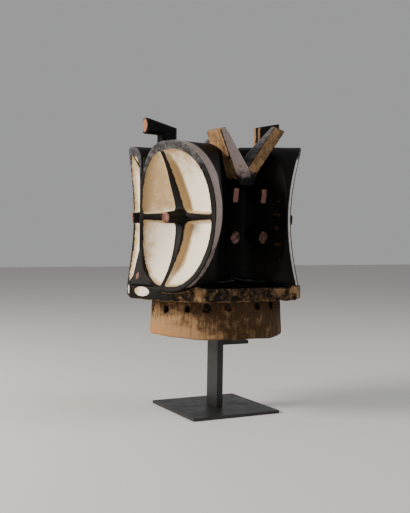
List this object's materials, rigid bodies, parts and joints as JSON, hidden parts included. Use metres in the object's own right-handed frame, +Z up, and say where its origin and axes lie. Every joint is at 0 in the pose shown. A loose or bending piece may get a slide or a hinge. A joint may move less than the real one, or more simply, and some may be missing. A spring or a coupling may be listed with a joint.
{
  "type": "helmet mask on a display stand",
  "caption": "Carved wooden helmet mask with janus faces of dished white oval plates, pegs and V horns, on a black steel stand.",
  "frame": {"origin": "centre of the base plate's underside", "axes": "+Z up, -Y towards the front face, +X towards the mask's right side recess as seen from the front"},
  "size_m": [0.37, 0.356, 0.579],
  "materials": {
    "carved_wood": "blackened worn wood with white kaolin and raw tan patches",
    "stand_steel": "satin black"
  },
  "bodies": {
    "root": {"mask": "carved_wood", "stand_plate": "stand_steel", "stand_post": "stand_steel", "stand_arm": "stand_steel", "stand_head": "stand_steel"}
  },
  "joints": []
}
